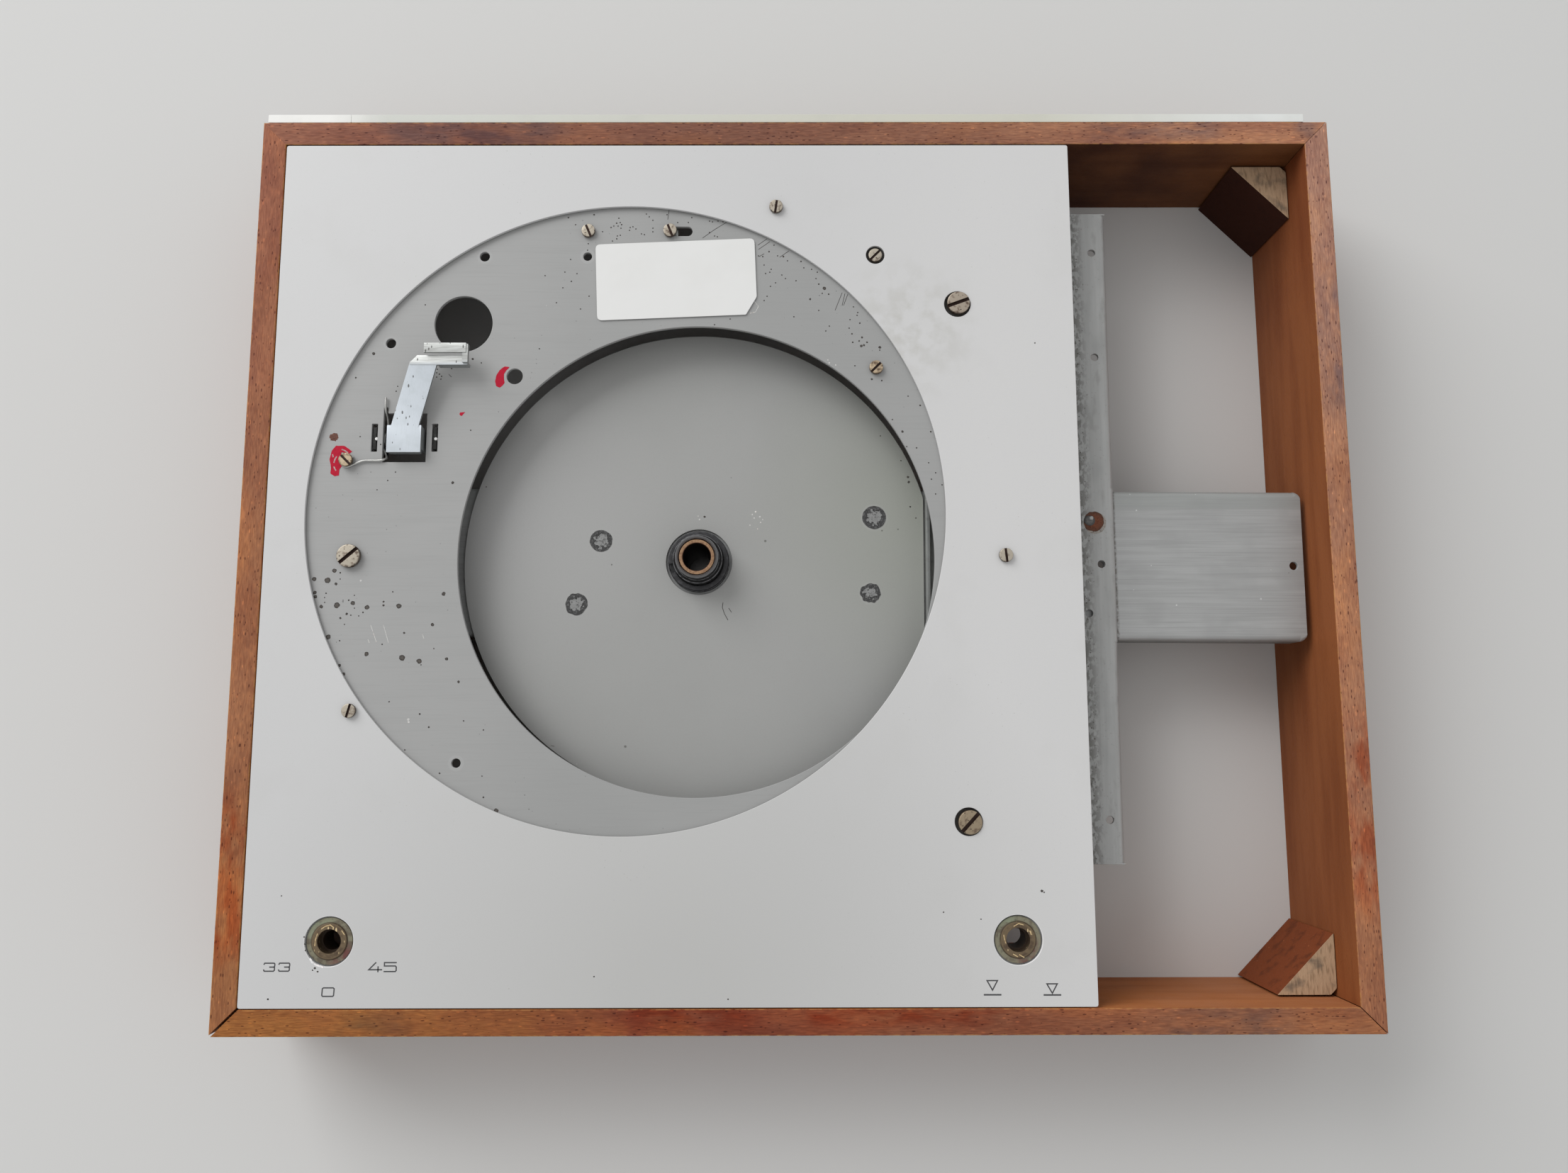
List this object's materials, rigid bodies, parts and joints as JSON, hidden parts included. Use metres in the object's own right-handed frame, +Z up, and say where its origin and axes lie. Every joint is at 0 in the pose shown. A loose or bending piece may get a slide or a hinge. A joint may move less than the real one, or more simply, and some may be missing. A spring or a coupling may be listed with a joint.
{
  "type": "turntable",
  "caption": "Belt-drive turntable stripped to its mitred wooden plinth, cover plate, chassis, belt shifter, bearing and sprung sub-chassis.",
  "frame": {"origin": "on the plane the plinth stands on, under the middle of the object's box (the rear rail included)", "axes": "+X to the right, +Y to the back, +Z up, as the user stands in front of the knobs' bushes"},
  "size_m": [0.394, 0.3284, 0.0591],
  "materials": {
    "wood": "satin mahogany veneer",
    "block_wood": "raw stained wood",
    "white_enamel": "white enamel",
    "label_film": "matt white film",
    "anodised_aluminium": "fine satin anodised",
    "grey_paint": "silver-grey hammered paint, pitted",
    "disc_paint": "silver-grey paint, scuffed",
    "nickel": "dull nickel with brown stains",
    "zinc": "dull zinc with spangle and fine brush lines",
    "bright_zinc": "bright zinc",
    "brass": "worn olive brass",
    "bronze": "oiled sintered bronze",
    "black_steel": "burnished black",
    "spring_steel": "drawn wire",
    "rubber": "matt"
  },
  "bodies": {
    "plinth": {"anchor_screw": "nickel", "arm_lift_bush": "brass", "arm_lift_bush_nut": "zinc", "chassis_plate": "grey_paint", "clamp_nut_label_left": "zinc", "clamp_nut_label_right": "zinc", "clamp_nut_right_back": "zinc", "clamp_nut_right_front": "zinc", "clamp_screw_label_left": "nickel", "clamp_screw_label_right": "nickel", "clamp_screw_right_back": "nickel", "clamp_screw_right_front": "nickel", "corner_block_back_left": "block_wood", "corner_block_back_right": "block_wood", "corner_block_front_left": "block_wood", "corner_block_front_right": "block_wood", "cover_plate": "anodised_aluminium", "cover_screw_back": "nickel", "cover_screw_left": "nickel", "cover_screw_right": "nickel", "plinth_back": "wood", "plinth_front": "wood", "plinth_left": "wood", "plinth_right": "wood", "rating_label": "label_film", "rear_lid_rail": "white_enamel", "selector_bush": "brass", "selector_bush_nut": "zinc", "shifter_bracket": "spring_steel", "shifter_pivot_pin": "spring_steel", "shifter_return_spring": "spring_steel", "support_block_back": "block_wood", "support_block_front": "block_wood"},
    "subchassis": {"subchassis_disc": "disc_paint", "subchassis_spine": "zinc", "spring_crossbar": "zinc", "armboard_bar": "zinc", "bearing_sleeve": "black_steel", "bearing_bushing": "bronze", "bearing_thrust_pad": "spring_steel", "bearing_cap": "black_steel", "bearing_clip": "black_steel", "bearing_nut": "zinc", "spring_grommet_left": "rubber", "spring_grommet_back": "rubber", "spring_grommet_front": "rubber", "suspension_spring_left": "spring_steel", "suspension_spring_back": "spring_steel", "suspension_spring_front": "spring_steel"},
    "belt_shifter": {"belt_shifter": "bright_zinc"},
    "suspension_screw_left": {"suspension_screw_left": "nickel"},
    "spring_seat_left": {"suspension_nut_left": "zinc", "spring_cup_left": "black_steel"},
    "suspension_screw_back": {"suspension_screw_back": "nickel"},
    "spring_seat_back": {"suspension_nut_back": "zinc", "spring_cup_back": "black_steel"},
    "suspension_screw_front": {"suspension_screw_front": "nickel"},
    "spring_seat_front": {"suspension_nut_front": "zinc", "spring_cup_front": "black_steel"}
  },
  "joints": [
    {"name": "subchassis_bounce", "type": "slide", "parent": "plinth", "child": "subchassis", "axis": [0, 0, 1], "range_m": [-0.004, 0.004], "stiffness_N_per_m": 2000, "springref_m": 0.00356, "deforming": ["suspension_spring_left", "suspension_spring_back", "suspension_spring_front"]},
    {"name": "shifter_pivot", "type": "hinge", "parent": "plinth", "child": "belt_shifter", "pos_m": [-0.13965, 0.0423, 0.045], "axis": [1, 0, 0], "range_deg": [-5, 0], "stiffness_Nm_per_rad": 0.06, "springref_deg": 5.73},
    {"name": "screw_turn_left", "type": "hinge", "parent": "plinth", "child": "suspension_screw_left", "pos_m": [-0.158, -0.0017, 0.03], "axis": [0, 0, 1], "range_deg": [-720, 720]},
    {"name": "seat_lift_left", "type": "slide", "parent": "plinth", "child": "spring_seat_left", "axis": [0, 0, 1], "range_m": [-0.0016, 0.0016], "deforming": ["suspension_spring_left"]},
    {"name": "screw_turn_back", "type": "hinge", "parent": "plinth", "child": "suspension_screw_back", "pos_m": [0.0588, 0.0909, 0.03], "axis": [0, 0, 1], "range_deg": [-720, 720]},
    {"name": "seat_lift_back", "type": "slide", "parent": "plinth", "child": "spring_seat_back", "axis": [0, 0, 1], "range_m": [-0.0016, 0.0016], "deforming": ["suspension_spring_back"]},
    {"name": "screw_turn_front", "type": "hinge", "parent": "plinth", "child": "suspension_screw_front", "pos_m": [0.0588, -0.0943, 0.03], "axis": [0, 0, 1], "range_deg": [-720, 720]},
    {"name": "seat_lift_front", "type": "slide", "parent": "plinth", "child": "spring_seat_front", "axis": [0, 0, 1], "range_m": [-0.0016, 0.0016], "deforming": ["suspension_spring_front"]}
  ],
  "couplings": [
    {"joint": "screw_turn_left", "follows": "seat_lift_left", "rad_per_m": -7853.9},
    {"joint": "screw_turn_back", "follows": "seat_lift_back", "rad_per_m": -7853.9},
    {"joint": "screw_turn_front", "follows": "seat_lift_front", "rad_per_m": -7853.9}
  ]
}
